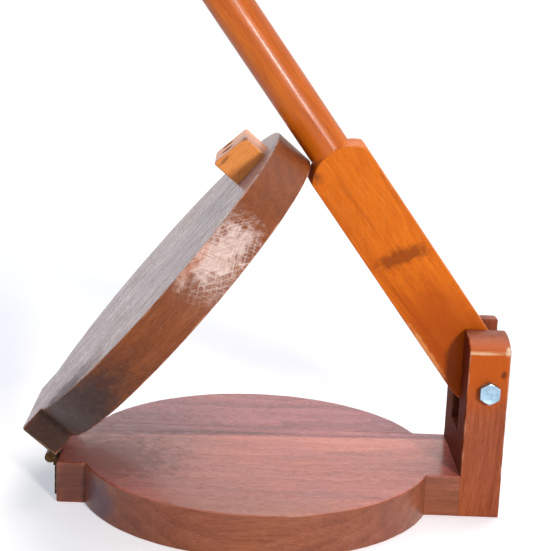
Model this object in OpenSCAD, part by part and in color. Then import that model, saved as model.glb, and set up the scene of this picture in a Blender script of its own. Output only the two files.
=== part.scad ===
// Wooden tortilla press: a round base board with a forked post, a hinged round lid and a pressing lever.
// The lid stands open and the lever leans back against the lid's rim, so each holds the other up.
// Origin: centre of the base disc's underside. +X runs to the post, +Y to the back and +Z up.

/* [Boards] */
// Diameter of the round base board and of the round lid
disc_d = 240; // [190:1:300]
// Thickness of the base board
base_t = 28; // [23:0.5:36]
// Thickness of the lid board
lid_t = 28; // [23:0.5:36]
// Gap that the closed lid leaves above the base
parting_gap = 0.4; // [0.2:0.1:1]
// Width of the hinge tongue on each board
hinge_tongue_w = 84; // [80:1:110]
// How far the hinge tongues stand out past the discs
hinge_tongue_l = 11; // [6:0.5:25]
// Where the base's glue line crosses the middle, measured towards the back
base_seam_y = 23; // [18:0.5:26]
// Turn of the base's glue line against the X axis, in degrees
base_seam_skew = 3.2; // [0:0.1:4]
// Where the lid's glue line runs, measured towards the back
lid_seam_y = -32; // [-37:0.5:-30]

/* [Post] */
// Height of the post's two cheeks above the table
post_h = 121.4; // [112:0.2:146]
// Size of the post along X
post_t = 27; // [24:0.5:34]
// Gap between the base disc's rim and the post's inner face
post_standoff = 14.5; // [10:0.5:25]
// Thickness of each cheek
cheek_t = 28; // [23:0.5:34]
// Width of the slot between the cheeks
slot_w = 28; // [24:0.5:34]
// Height of the core block that closes the foot of the slot
core_h = 51; // [42:0.5:58]
// Width of the level part of each cheek's top, beside the slot
cheek_flat = 6; // [3:0.5:14]
// How far the rounded cheek top falls by its outer face
cheek_drop = 7.3; // [3:0.1:12]

/* [Lever] */
// Height of the lever's pivot above the table
pivot_h = 86.8; // [80:0.2:96]
// Distance from the post's inner face to the pivot
pivot_inset = 14.4; // [12:0.2:16]
// Width of the lever's flat plank
lever_w = 42.7; // [34:0.1:54]
// How far above the pivot the heel's rounding is centred
heel_inset = 5.5; // [3:0.5:8]
// Clearance between the plank and each side of the slot
lever_side_gap = 0.3; // [0.2:0.05:0.6]
// Diameter of the lever's turned handle
rod_d = 27.9; // [24:0.1:33]
// Distance from the pivot to the handle's end
lever_reach = 380; // [300:1:480]
// Bevel round the handle's end
rod_end_bevel = 2.5; // [1:0.5:5]
// Length over which the plank's flat faces run out on the handle
facet_l = 45; // [20:1:60]
// Distance from the handle's root to where the flat faces start to run out
facet_lead = 4.4; // [2:0.2:8]
// Length of the turned shoulder between the plank and the handle
shoulder_l = 11.6; // [9:0.1:16]
// Radius of the shoulder's rounding
shoulder_r = 28; // [20:1:60]

/* [Rest pose] */
// How far the lid stands open, in degrees
lid_open = 50.4; // [42:0.1:56]
// Clearance between the lid's rim and the handle that leans on it
lean_gap = 0.3; // [0.2:0.05:0.5]
// Distance along the lever from the handle's root up to the lid's rim
notch_gap = 0.4; // [0.3:0.1:4]

/* [Pressure block] */
// Size of the block along X
block_l = 26.5; // [22:0.5:34]
// Size of the block along Y
block_w = 45; // [40:1:60]
// How far the block's middle stands off the lid's middle, towards the back
block_shift = 2.5; // [-4:0.5:4]
// Distance from the block to the lid's front rim
block_inset = 14; // [6:0.5:40]
// Height of the block on its hinge side
block_h_hinge = 20.7; // [18.5:0.1:26]
// Height of the block on its handle side
block_h_tip = 16.5; // [14:0.1:18.5]
// Distance from the block's hinge side to its screws
block_screw_inset = 11; // [8:0.5:14]
// Distance between the block's two screws
block_screw_pitch = 21; // [16:1:24]
// How far the middle of the two screws stands off the lid's middle, towards the back
block_screw_shift = 5; // [0:0.5:6]
// Diameter of the counterbores over the block's screws
counterbore_d = 9.6; // [8.2:0.1:11]
// Depth of the counterbores, measured at the block's middle
counterbore_depth = 6; // [4:0.5:8]

/* [Hinge] */
// Width of the butt hinge
hinge_w = 76; // [60:1:78]
// Distance from the hinge pin to the far edge of each leaf
leaf_reach = 25.4; // [22:0.1:27]
// Thickness of the hinge leaves
leaf_t = 1.5; // [1.2:0.1:2]
// Outer diameter of the hinge knuckles
knuckle_d = 7.2; // [6.6:0.1:8]
// Diameter of the hinge pin
hinge_pin_d = 4.2; // [3:0.1:4.6]
// Number of knuckles, an odd count with the outer ones on the base leaf
knuckles = 5; // [3:2:7]
// Gap between neighbouring knuckles
knuckle_gap = 0.3; // [0.2:0.1:0.6]
// Gap between each leaf's plate and the other leaf's knuckles
leaf_gap = 0.6; // [0.4:0.1:1]
// Distance from the boards' end faces to the hinge pin
pin_offset = 4.6; // [4.4:0.1:5.4]
// Height of the hinge pin above the closed lid's underside
pin_rise = 1.2; // [0.4:0.1:1.6]
// Distance between the outer screws of each leaf
hinge_screw_pitch = 52; // [30:1:54]
// Distance from the pin to the outer screws
hinge_screw_far = 17; // [15:0.5:19]
// Distance from the pin to the middle screw
hinge_screw_near = 11; // [10:0.5:17]

/* [Fasteners] */
// Diameter of the pivot bolt
bolt_d = 7.9; // [6:0.1:10]
// Size of the bolt head and of the nut across their flats
hex_af = 12.7; // [12:0.1:17]
// Height of the bolt head
bolt_head_h = 5.3; // [4:0.1:7]
// Height of the nut
nut_h = 6.8; // [5:0.1:8]
// How far the bolt stands out past its nut
bolt_tail = 2.5; // [1:0.5:6]
// Diameter of the washer under the nut
washer_d = 17.5; // [17:0.5:24]
// Thickness of the washer
washer_t = 1.6; // [1:0.1:2]
// Diameter of the screws that hold the post
post_screw_d = 4.5; // [4:0.1:5.5]
// Length of the screws that hold the post
post_screw_l = 52; // [44:1:60]
// Distance between the outer two of the post's screws
post_screw_pitch = 50; // [46:1:56]
// Diameter of the hinge screws
hinge_screw_d = 3.5; // [3:0.1:4]
// Length of the hinge screws
hinge_screw_l = 18; // [12:1:22]
// Diameter of the block's screws
block_screw_d = 4.2; // [3.5:0.1:4.5]
// Length of the block's screws
block_screw_l = 32; // [26:1:36]

/* [Fits] */
// Radial clearance of the lever and the post on the pivot bolt
bolt_fit = 0.06; // [0.03:0.01:0.1]
// Radial clearance of the knuckles on the hinge pin
hinge_fit = 0.05; // [0.03:0.01:0.1]
// Radial clearance round the screws in their holes
screw_fit = 0.05; // [0.03:0.01:0.1]

/* [Hidden] */

$fn = 96;
disc_r = disc_d / 2;
hinge_x = -disc_r - hinge_tongue_l;
far = 3 * disc_d;
cut = 1;

// Post and pivot
post_w = 2 * cheek_t + slot_w;
post_x = disc_r + post_standoff;
pivot_x = post_x + pivot_inset;
post_screw_z = base_t / 2;

// Hinge pin, and the board planes above the base
lid_z = base_t + parting_gap;
lid_top = lid_z + lid_t;
pin_x = hinge_x - pin_offset;
pin_z = lid_z + pin_rise;

// The lid's lowest rim point at rest, seen from the hinge pin and then from the pivot
rim_run = disc_r - pin_x;
rim_x = pin_x + rim_run * cos(lid_open) + pin_rise * sin(lid_open);
rim_z = pin_z + rim_run * sin(lid_open) - pin_rise * cos(lid_open);
rim_dist = norm([rim_x - pivot_x, rim_z - pivot_h]);
rim_angle = atan2(rim_z - pivot_h, rim_x - pivot_x);

// The lever leans on that point: its handle's underside passes it at lean_gap
rod_r = rod_d / 2;
lean_angle = rim_angle - asin((rod_r + lean_gap) / rim_dist);
rim_along = rim_dist * cos(rim_angle - lean_angle);
lever_t = slot_w - 2 * lever_side_gap;
corner_r = norm([lever_w, lever_t]) / 2;
rod_root = rim_along - notch_gap;
facet_start = rod_root + facet_lead;
facet_slope = max(0, rod_r - lever_t / 2) / facet_l;
turn_margin = 0.5;

// Pressure block
block_x = disc_r - block_inset - block_l;
block_slope = atan2(block_h_hinge - block_h_tip, block_l);
block_mid_h = (block_h_hinge + block_h_tip) / 2;
block_screw_x = block_x + block_screw_inset;

// Screws have 90 degree countersunk heads with a crossed recess, and fine points
recess_w = 0.9;
point_d = 0.4;
post_head_d = 2 * post_screw_d;
hinge_head_d = hinge_screw_d + 2 * leaf_t;
block_head_d = 1.8 * block_screw_d;

// The bolt's end is bevelled, and the nut stops at this turn
bolt_bevel = 1;
nut_turn = 12;

// ---- Poses ----

// Turns the closed lid up about the hinge pin
module open_lid() {
    translate([pin_x, 0, pin_z])
        rotate([0, -lid_open, 0])
            translate([-pin_x, 0, -pin_z])
                children();
}

// Lays a shape that runs up the Z axis from the pivot along the leaning lever
module lean_lever() {
    translate([pivot_x, 0, pivot_h])
        rotate([0, 90 - lean_angle, 0])
            children();
}

// ---- Fasteners ----

// A countersunk wood screw that points down the Z axis, with its flat head at z = 0
module wood_screw(d, head_d, length) {
    head_h = (head_d - d) / 2;
    tip_l = 1.5 * d;
    difference() {
        union() {
            translate([0, 0, -head_h])
                cylinder(d1 = d, d2 = head_d, h = head_h);
            translate([0, 0, tip_l - length])
                cylinder(d = d, h = length - tip_l);
            translate([0, 0, -length])
                cylinder(d1 = point_d, d2 = d, h = tip_l);
        }
        for (turn = [0, 90])
            rotate(turn)
                translate([-0.3 * head_d, -recess_w / 2, -0.6 * head_h])
                    cube([0.6 * head_d, recess_w, head_h]);
    }
}

// The hole that such a screw fills, with its clearance
module screw_hole(d, head_d, length) {
    head_h = (head_d - d) / 2;
    hole_d = d + 2 * screw_fit;
    translate([0, 0, -head_h - screw_fit])
        cylinder(d1 = hole_d, d2 = hole_d + 2 * (head_h + screw_fit + cut), h = head_h + screw_fit + cut);
    translate([0, 0, -length - screw_fit])
        cylinder(d = hole_d, h = length);
}

// A six-sided bar, corner upwards, across the given flats
module hex_bar(af, h) {
    cylinder(d = af / cos(30), h = h, $fn = 6);
}

// The places of the post's screws, each pointing from the outer face towards the base
module at_post_screws() {
    for (side = [-1, 0, 1])
        translate([post_x + post_t, side * post_screw_pitch / 2, post_screw_z])
            rotate([0, 90, 0])
                children();
}

// The places of one leaf's screws; up is 1 on the lid's leaf and -1 on the base's
module at_hinge_screws(up) {
    for (side = [-1, 0, 1])
        translate([hinge_x - leaf_t, side * hinge_screw_pitch / 2,
                pin_z + up * (side == 0 ? hinge_screw_near : hinge_screw_far)])
            rotate([0, -90, 0])
                children();
}

// The places of the block's screws, on the floors of their counterbores
module at_block_screws() {
    for (side = [-1, 1])
        translate([block_screw_x, block_screw_shift + side * block_screw_pitch / 2,
                lid_top + block_mid_h - counterbore_depth])
            children();
}

module post_screw_holes() {
    at_post_screws() screw_hole(post_screw_d, post_head_d, post_screw_l);
}

module hinge_screw_holes(up) {
    at_hinge_screws(up) screw_hole(hinge_screw_d, hinge_head_d, hinge_screw_l);
}

module block_screw_holes() {
    at_block_screws() screw_hole(block_screw_d, block_head_d, block_screw_l);
}

// The bolt's hole through the post and the lever
module bolt_hole() {
    translate([pivot_x, 0, pivot_h])
        rotate([90, 0, 0])
            cylinder(d = bolt_d + 2 * bolt_fit, h = post_w + 2 * cut, center = true);
}

// ---- Base board ----

// The whole base before it is parted along its glue line
module base_blank() {
    difference() {
        union() {
            cylinder(r = disc_r, h = base_t, $fn = 180);
            translate([hinge_x, -hinge_tongue_w / 2, 0])
                cube([-hinge_x, hinge_tongue_w, base_t]);
            translate([0, -post_w / 2, 0])
                cube([post_x, post_w, base_t]);
        }
        post_screw_holes();
        hinge_screw_holes(-1);
    }
}

// Everything on one side of a glue line: side is -1 in front of it and 1 behind it
module beside_seam(seam_y, skew, side) {
    translate([0, seam_y, 0])
        rotate(skew)
            translate([-far / 2, side < 0 ? -far : 0, -cut])
                cube([far, far, far]);
}

module base_board_front() {
    color("sienna")
        intersection() {
            base_blank();
            beside_seam(base_seam_y, base_seam_skew, -1);
        }
}

module base_board_back() {
    color("rosybrown")
        intersection() {
            base_blank();
            beside_seam(base_seam_y, base_seam_skew, 1);
        }
}

// ---- Post ----

// The back cheek's outline in the YZ plane: level by the slot, then rounded down to the outer face
module cheek_outline() {
    run = cheek_t - cheek_flat;
    round_r = (run * run + cheek_drop * cheek_drop) / (2 * cheek_drop);
    sweep = asin(run / round_r);
    steps = 10;
    polygon(concat(
        [[slot_w / 2, 0], [post_w / 2, 0]],
        [for (i = [steps:-1:0])
            let (a = sweep * i / steps)
            [slot_w / 2 + cheek_flat + round_r * sin(a), post_h - round_r * (1 - cos(a))]],
        [[slot_w / 2, post_h]]));
}

// One cheek: side is 1 at the back and -1 in front
module cheek(side) {
    difference() {
        translate([post_x, 0, 0])
            mirror([0, side < 0 ? 1 : 0, 0])
                rotate([90, 0, 90])
                    linear_extrude(post_t)
                        cheek_outline();
        post_screw_holes();
        bolt_hole();
    }
}

module post_front_cheek() {
    color("darkorange") cheek(-1);
}

module post_back_cheek() {
    color("chocolate") cheek(1);
}

module post_core() {
    color("saddlebrown")
        difference() {
            translate([post_x, -slot_w / 2, 0])
                cube([post_t, slot_w, core_h]);
            post_screw_holes();
        }
}

module post_screws() {
    color("goldenrod")
        at_post_screws() wood_screw(post_screw_d, post_head_d, post_screw_l);
}

// ---- Pivot ----

module pivot_bolt() {
    shank_l = post_w + washer_t + nut_h + bolt_tail;
    color("lightsteelblue")
        translate([pivot_x, -post_w / 2, pivot_h])
            rotate([-90, 0, 0]) {
                translate([0, 0, -bolt_head_h / 2])
                    cylinder(d = bolt_d, h = bolt_head_h / 2 + shank_l - bolt_bevel);
                translate([0, 0, shank_l - bolt_bevel])
                    cylinder(d1 = bolt_d, d2 = bolt_d - 2 * bolt_bevel, h = bolt_bevel);
                // The head is turned round on its outer face, as a bolt's is
                translate([0, 0, -bolt_head_h])
                    intersection() {
                        rotate(30) hex_bar(hex_af, bolt_head_h);
                        cylinder(d1 = hex_af, d2 = hex_af + 6 * bolt_head_h, h = bolt_head_h);
                    }
            }
}

module nut_washer() {
    color("silver")
        translate([pivot_x, post_w / 2, pivot_h])
            rotate([-90, 0, 0])
                difference() {
                    cylinder(d = washer_d, h = washer_t);
                    translate([0, 0, -cut])
                        cylinder(d = bolt_d + 2 * bolt_fit, h = washer_t + 2 * cut);
                }
}

module pivot_nut() {
    color("lightsteelblue")
        translate([pivot_x, post_w / 2 + washer_t, pivot_h])
            rotate([-90, 0, 0])
                difference() {
                    intersection() {
                        rotate(nut_turn) hex_bar(hex_af, nut_h);
                        cylinder(d1 = hex_af + 6 * nut_h, d2 = hex_af, h = nut_h);
                    }
                    translate([0, 0, -cut])
                        cylinder(d = bolt_d + 2 * bolt_fit, h = nut_h + 2 * cut);
                }
}

// ---- Lever ----

// The shape that the lathe leaves: full width up to the shoulder, then the round handle
module turned_envelope() {
    wide_r = corner_r + turn_margin;
    start = [wide_r, rod_root - shoulder_l];
    end = [rod_r, rod_root];
    chord = norm(end - start);
    // Centre of the rounding, on the axis side of the chord
    middle = (start + end) / 2;
    inward = [start[1] - end[1], end[0] - start[0]] / chord;
    centre = middle + inward * sqrt(shoulder_r * shoulder_r - chord * chord / 4);
    a0 = atan2(start[1] - centre[1], start[0] - centre[0]);
    a1 = atan2(end[1] - centre[1], end[0] - centre[0]);
    steps = 6;
    rotate_extrude()
        polygon(concat(
            [[0, -lever_w], [wide_r, -lever_w]],
            [for (i = [0:steps])
                let (a = a0 + (a1 - a0) * i / steps)
                centre + shoulder_r * [cos(a), sin(a)]],
            [[rod_r, lever_reach - rod_end_bevel], [rod_r - rod_end_bevel, lever_reach], [0, lever_reach]]));
}

// The planed side faces: parallel on the plank, then running out on the handle
module planed_slab() {
    end_half = lever_t / 2 + facet_slope * (lever_reach - facet_start);
    rotate([90, 0, 90])
        linear_extrude(2 * lever_w, center = true)
            polygon([
                [-lever_t / 2, -lever_w], [lever_t / 2, -lever_w], [lever_t / 2, facet_start],
                [end_half, lever_reach + cut], [-end_half, lever_reach + cut], [-lever_t / 2, facet_start]]);
}

// The whole lever from z0 to z1, measured along it from the pivot
module lever_between(z0, z1) {
    lean_lever()
        intersection() {
            union() {
                translate([0, 0, heel_inset])
                    rotate([90, 0, 0])
                        cylinder(d = lever_w, h = 2 * rod_d, center = true);
                translate([-lever_w / 2, -rod_d, heel_inset])
                    cube([lever_w, 2 * rod_d, lever_reach]);
            }
            turned_envelope();
            planed_slab();
            translate([-lever_w, -lever_w, z0])
                cube([2 * lever_w, 2 * lever_w, z1 - z0]);
        }
}

// The lever is one turned piece. Its two nodes meet at the handle's root, so that each is convex
// and the lid's rim finds the notch between them open.
module lever_plank() {
    color("orangered")
        difference() {
            lever_between(-lever_w, rod_root);
            bolt_hole();
        }
}

module lever_handle() {
    color("coral") lever_between(rod_root, lever_reach + cut);
}

// ---- Hinge ----

// One leaf with its knuckles; up is 1 on the lid and -1 on the base, and own lists its knuckles
module hinge_leaf(up, own) {
    pitch = hinge_w / knuckles;
    clear = knuckle_d / 2 + leaf_gap;
    difference() {
        union() {
            // Plate from its far edge to just short of the other leaf's knuckles
            translate([hinge_x - leaf_t, -hinge_w / 2, up > 0 ? pin_z + clear : pin_z - leaf_reach])
                cube([leaf_t, hinge_w, leaf_reach - clear]);
            for (k = own) {
                y0 = -hinge_w / 2 + k * pitch + (k == 0 ? 0 : knuckle_gap / 2);
                y1 = -hinge_w / 2 + (k + 1) * pitch - (k == knuckles - 1 ? 0 : knuckle_gap / 2);
                translate([pin_x, y0, pin_z])
                    rotate([-90, 0, 0])
                        cylinder(d = knuckle_d, h = y1 - y0);
                // The strip that curls from the plate into the knuckle
                translate([pin_x + hinge_pin_d / 2, y0, up > 0 ? pin_z + knuckle_gap : pin_z - clear - cut])
                    cube([pin_offset - hinge_pin_d / 2, y1 - y0, clear + cut - knuckle_gap]);
            }
        }
        translate([pin_x, 0, pin_z])
            rotate([90, 0, 0])
                cylinder(d = hinge_pin_d + 2 * hinge_fit, h = hinge_w + 2 * cut, center = true);
        hinge_screw_holes(up);
    }
}

module base_hinge_leaf() {
    color("darkgoldenrod")
        hinge_leaf(-1, [0:2:knuckles - 1]);
}

module lid_hinge_leaf() {
    color("goldenrod")
        open_lid() hinge_leaf(1, [1:2:knuckles - 1]);
}

module hinge_pin() {
    color("gold")
        translate([pin_x, 0, pin_z])
            rotate([90, 0, 0])
                cylinder(d = hinge_pin_d, h = hinge_w, center = true);
}

module base_hinge_screws() {
    color("khaki")
        at_hinge_screws(-1) wood_screw(hinge_screw_d, hinge_head_d, hinge_screw_l);
}

module lid_hinge_screws() {
    color("khaki")
        open_lid() at_hinge_screws(1) wood_screw(hinge_screw_d, hinge_head_d, hinge_screw_l);
}

// ---- Lid ----

// The whole closed lid before it is parted along its glue line
module lid_blank() {
    difference() {
        translate([0, 0, lid_z])
            union() {
                cylinder(r = disc_r, h = lid_t, $fn = 180);
                translate([hinge_x, -hinge_tongue_w / 2, 0])
                    cube([-hinge_x, hinge_tongue_w, lid_t]);
            }
        hinge_screw_holes(1);
        block_screw_holes();
    }
}

module lid_board_front() {
    color("indianred")
        open_lid()
            intersection() {
                lid_blank();
                beside_seam(lid_seam_y, 0, -1);
            }
}

module lid_board_back() {
    color("thistle")
        open_lid()
            intersection() {
                lid_blank();
                beside_seam(lid_seam_y, 0, 1);
            }
}

// The block that the lever bears on, with its top sloping down towards the handle
module pressure_block() {
    color("salmon")
        open_lid()
            difference() {
                translate([block_x, block_shift + block_w / 2, lid_top])
                    rotate([90, 0, 0])
                        linear_extrude(block_w)
                            polygon([[0, 0], [block_l, 0], [block_l, block_h_tip], [0, block_h_hinge]]);
                block_screw_holes();
                at_block_screws()
                    cylinder(d = counterbore_d, h = counterbore_depth + block_h_hinge);
            }
}

module block_screws() {
    color("silver")
        open_lid() at_block_screws() wood_screw(block_screw_d, block_head_d, block_screw_l);
}

base_board_front();
base_board_back();
post_front_cheek();
post_back_cheek();
post_core();
post_screws();
pivot_bolt();
nut_washer();
pivot_nut();
lever_plank();
lever_handle();
base_hinge_leaf();
lid_hinge_leaf();
hinge_pin();
base_hinge_screws();
lid_hinge_screws();
lid_board_front();
lid_board_back();
pressure_block();
block_screws();
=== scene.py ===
# %% [markdown]
# # A wooden tortilla press
# A round base with a forked post, a round lid on a butt hinge, and a lever that turns on a bolt in the fork. The
# lid stands open and leans on the lever. The frame gives the places and joints; this lesson adds eased edges, grain
# and finishes, and lights the press as a small studio would.

from functools import partial
from math import asin, atan2, cos, degrees, hypot, pi, radians, sin, sqrt

import bmesh
import bpy
import numpy as np
from mathutils import Matrix, Vector


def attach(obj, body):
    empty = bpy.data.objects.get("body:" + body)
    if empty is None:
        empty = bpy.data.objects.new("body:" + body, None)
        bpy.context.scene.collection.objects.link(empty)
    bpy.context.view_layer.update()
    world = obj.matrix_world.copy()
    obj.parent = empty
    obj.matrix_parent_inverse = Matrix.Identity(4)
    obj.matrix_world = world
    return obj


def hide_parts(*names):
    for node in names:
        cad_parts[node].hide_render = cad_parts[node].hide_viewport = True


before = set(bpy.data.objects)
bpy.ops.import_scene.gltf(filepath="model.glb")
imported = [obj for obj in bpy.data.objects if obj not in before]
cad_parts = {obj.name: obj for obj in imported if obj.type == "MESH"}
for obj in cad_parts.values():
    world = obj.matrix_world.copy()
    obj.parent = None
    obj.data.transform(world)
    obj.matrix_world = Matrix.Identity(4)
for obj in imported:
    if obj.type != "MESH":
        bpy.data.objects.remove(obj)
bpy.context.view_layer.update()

# %% [markdown]
# ## The camera
# The press is seen from the front, a little above the lid's hinge, through a lens so long that lines which run
# back hardly meet. Place, yaw, pitch and roll set the camera.

# %% Camera
MM = 0.001
CAMERA_AT = (-13.147, -912.972, 360.402)
YAW, PITCH, ROLL = radians(0.893), radians(13.836), radians(2.402)
LENS_MM, SENSOR_MM, SHIFT = 91.07, 36, (0.0261, 0.0355)
NEAR_M, FAR_M = 0.05, 30

ahead = Vector((sin(YAW) * cos(PITCH), cos(YAW) * cos(PITCH), -sin(PITCH)))
level = ahead.cross(Vector((0, 0, 1))).normalized()
right = cos(ROLL) * level + sin(ROLL) * level.cross(ahead)
above = right.cross(ahead)
camera = bpy.data.objects.new("camera", bpy.data.cameras.new("camera"))
camera.data.lens, camera.data.sensor_width = LENS_MM, SENSOR_MM
camera.data.shift_x, camera.data.shift_y = SHIFT
camera.data.clip_start, camera.data.clip_end = NEAR_M, FAR_M
turn = Matrix((right, above, -ahead)).transposed().to_4x4()
camera.matrix_world = Matrix.Translation(Vector(CAMERA_AT) * MM) @ turn
bpy.context.scene.collection.objects.link(camera)
bpy.context.scene.camera = camera
print("camera looks", round(degrees(PITCH), 1), "degrees down")

# %% [markdown]
# ## Sizes
# All sizes are in millimetres. Lid and lever are drawn flat and then turned to where they rest. The lever leans
# until its handle passes the lid's lower rim point at a small gap, on a tangent from the bolt to a circle there.

# %% Sizes in millimetres
DISC_R = 120.0
BASE_T = 28.0
LID_LOW, LID_HIGH = 28.4, 56.4
TONGUE_X, TONGUE_W = -131.0, 84.0
POST_X, POST_T, POST_W, POST_H = 134.5, 27.0, 84.0, 121.4
SLOT_W, CORE_H = 28.0, 51.0
PIN = (-135.6, 29.6)
PIVOT = (148.9, 86.8)
LID_OPEN = radians(50.4)
ROD_R, LEAN_GAP, NOTCH_GAP = 13.95, 0.3, 0.4

rim_run, rim_rise = DISC_R - PIN[0], LID_LOW - PIN[1]
rim_x = PIN[0] + rim_run * cos(LID_OPEN) - rim_rise * sin(LID_OPEN)
rim_z = PIN[1] + rim_run * sin(LID_OPEN) + rim_rise * cos(LID_OPEN)
reach = hypot(rim_x - PIVOT[0], rim_z - PIVOT[1])
LEAN = atan2(rim_z - PIVOT[1], rim_x - PIVOT[0]) - asin((ROD_R + LEAN_GAP) / reach)
ROD_ROOT = sqrt(reach**2 - (ROD_R + LEAN_GAP) ** 2) - NOTCH_GAP
print("lever leans at", round(degrees(LEAN), 2), "degrees; its handle starts at", round(ROD_ROOT, 2))

# %% [markdown]
# ## From points to a finished object
# `piece` makes an object that rides on its CAD body. Eased corners are shaded smooth and real corners stay sharp.
# The `edge` attribute is each point's distance in millimetres from the nearest worn edge, for the finish.

# %% Piece helper
SHARP = radians(40)


def new_object(name, points, faces):
    """A plain object from points in millimetres and faces, a list of (n, 3 or 4) arrays of point numbers."""
    mesh = bpy.data.meshes.new(name)
    mesh.from_pydata((points * MM).tolist(), [], [f for block in faces for f in block.tolist()])
    made = bpy.data.objects.new(name, mesh)
    bpy.context.scene.collection.objects.link(made)
    return made


def face_values(mesh, key):
    """Every face's normal or centre, as rows."""
    values = np.empty(len(mesh.polygons) * 3, np.float32)
    mesh.polygons.foreach_get(key, values)
    return values.reshape(-1, 3)


def piece(name, points, faces, material, body, nodes, edge=None, merge=False, others=()):
    """A finished object. others is (material, axis, low, high) for faces whose normal lies between low and high along
    the axis."""
    made = new_object(name, points, faces)
    mesh = made.data
    if edge is not None:
        mesh.attributes.new("edge", "FLOAT", "POINT").data.foreach_set("value", edge.astype(np.float32))
    if merge:
        grid = bmesh.new()
        grid.from_mesh(mesh)
        bmesh.ops.remove_doubles(grid, verts=grid.verts, dist=1e-6)
        grid.to_mesh(mesh)
        grid.free()
    mesh.shade_smooth()
    mesh.set_sharp_from_angle(angle=SHARP)
    mesh.materials.append(material)
    number = np.zeros(len(mesh.polygons), np.int32)
    for i, (other, axis, low, high) in enumerate(others, 1):
        mesh.materials.append(other)
        tilt = face_values(mesh, "normal") @ np.array(axis)
        number[(low < tilt) & (tilt < high)] = i
    mesh.polygons.foreach_set("material_index", number)
    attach(made, body)
    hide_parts(*nodes)
    print(name, "has", len(mesh.polygons), "faces and rides on", body)
    return made


print("edges over", round(degrees(SHARP)), "degrees stay sharp")

# %% [markdown]
# ## Building a finish from nodes
# Nodes read the place on the object, so that a finish wraps round corners as solid wood does. Colours are written
# as on a paint chart and turned to the linear values that the renderer mixes.

# %% Node helper and colours
BLEND = {"data_type": "RGBA", "out": 2}  # A mix of colours: 0 is the share, 6 and 7 are the colours
TIMES_PLUS = {"operation": "MULTIPLY_ADD"}  # The first times the second, plus the third


def paint(code):
    """A colour written #rrggbb as linear red, green, blue and alpha."""
    c = np.array([int(code[i : i + 2], 16) for i in (1, 3, 5)]) / 255
    return (*np.where(c <= 0.04045, c / 12.92, ((c + 0.055) / 1.055) ** 2.4).tolist(), 1.0)


def add(tree, kind, inputs=(), stops=(), out=0, **settings):
    """One node: settings, inputs by name or in their order, which are values or other nodes' outputs, and a colour
    ramp's stops, first and last ahead of the rest. Gives one output, or the node where it has none."""
    made = tree.nodes.new("ShaderNode" + kind)
    for key, value in settings.items():
        setattr(made, key, value)
    for key, value in (inputs if isinstance(inputs, dict) else dict(enumerate(inputs))).items():
        if isinstance(value, bpy.types.NodeSocket):
            tree.links.new(value, made.inputs[key])
        else:
            made.inputs[key].default_value = value
    for i, (place, colour) in enumerate(stops):
        ramp = made.color_ramp.elements
        point = ramp[i] if i < 2 else ramp.new(place)
        point.position, point.color = place, colour
    return made.outputs[out] if made.outputs else made


def emptied(owner):
    """add for the tree of a material or world, which is emptied first."""
    owner.use_nodes = True
    owner.node_tree.nodes.clear()
    return partial(add, owner.node_tree)


print("#808080 is", round(paint("#808080")[0], 3), "of full light")

# %% [markdown]
# ## The grain of wood
# The press is a reddish tropical hardwood. A board is cut from a trunk, so its rings are round shells about a pith
# outside it: lines and arches on its faces, short arcs on its ends. Rings, broad bands and fine fibres are added
# up and coloured. Then oil stain soaks in, in patches some 60 mm across, and open pores make dark dashes about
# 6 mm long.

# %% Grain
DRIFT_MM, FIBRE_SHARE, BAND_SHARE, SPREAD = 26, 0.75, 0.6, 0.32
RING_SCALE = 0.314  # The wave texture makes a ring every 0.314 divided by its scale


def stretched_noise(put, vector, shift, scale, detail, roughness=0.5, out="Fac"):
    """Noise at the vector, moved by shift, with scale in cycles for each millimetre along, across and through."""
    moved = put("Mapping", {"Vector": vector, "Location": shift, "Scale": scale})
    return put("TexNoise", {"Vector": moved, "Scale": 1.0, "Detail": detail, "Roughness": roughness}, out=out)


def grain(put, local, rings, seed):
    """Rings, bands and fibres added up, from 0 dark to 1 light; the place on the board, bent by a slow drift; and
    the fibres. rings is (spacing, pith y, pith z, share)."""
    drift = stretched_noise(put, local, (seed, seed, 0), (0.006, 0.016, 0.016), 2, out="Color")
    bent = put("VectorMath", (drift, (0, DRIFT_MM, DRIFT_MM), local), **TIMES_PLUS)
    spacing, pith_y, pith_z, ring_share = rings
    pith = (0, -pith_y - DRIFT_MM / 2, -pith_z - DRIFT_MM / 2)
    shell = put("VectorMath", (bent, pith), operation="ADD")
    rough = {"Vector": shell, "Scale": RING_SCALE / spacing, "Distortion": 1.2, "Detail": 2.0, "Detail Scale": 2.0}
    ring = put("TexWave", rough, wave_type="RINGS", rings_direction="X", wave_profile="SAW", out="Fac")
    fibre = stretched_noise(put, bent, (seed, 0, seed), (0.03, 0.75, 0.75), 4, 0.65)
    band = stretched_noise(put, bent, (0, seed, seed), (0.004, 0.11, 0.11), 1)
    total = put("Math", (ring, ring_share), operation="MULTIPLY")
    total = put("Math", (fibre, FIBRE_SHARE, total), **TIMES_PLUS)
    total = put("Math", (band, BAND_SHARE, total), **TIMES_PLUS)
    middle = (FIBRE_SHARE + BAND_SHARE + ring_share) / 2
    return put("MapRange", (total, middle - SPREAD, middle + SPREAD)), bent, fibre


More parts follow.
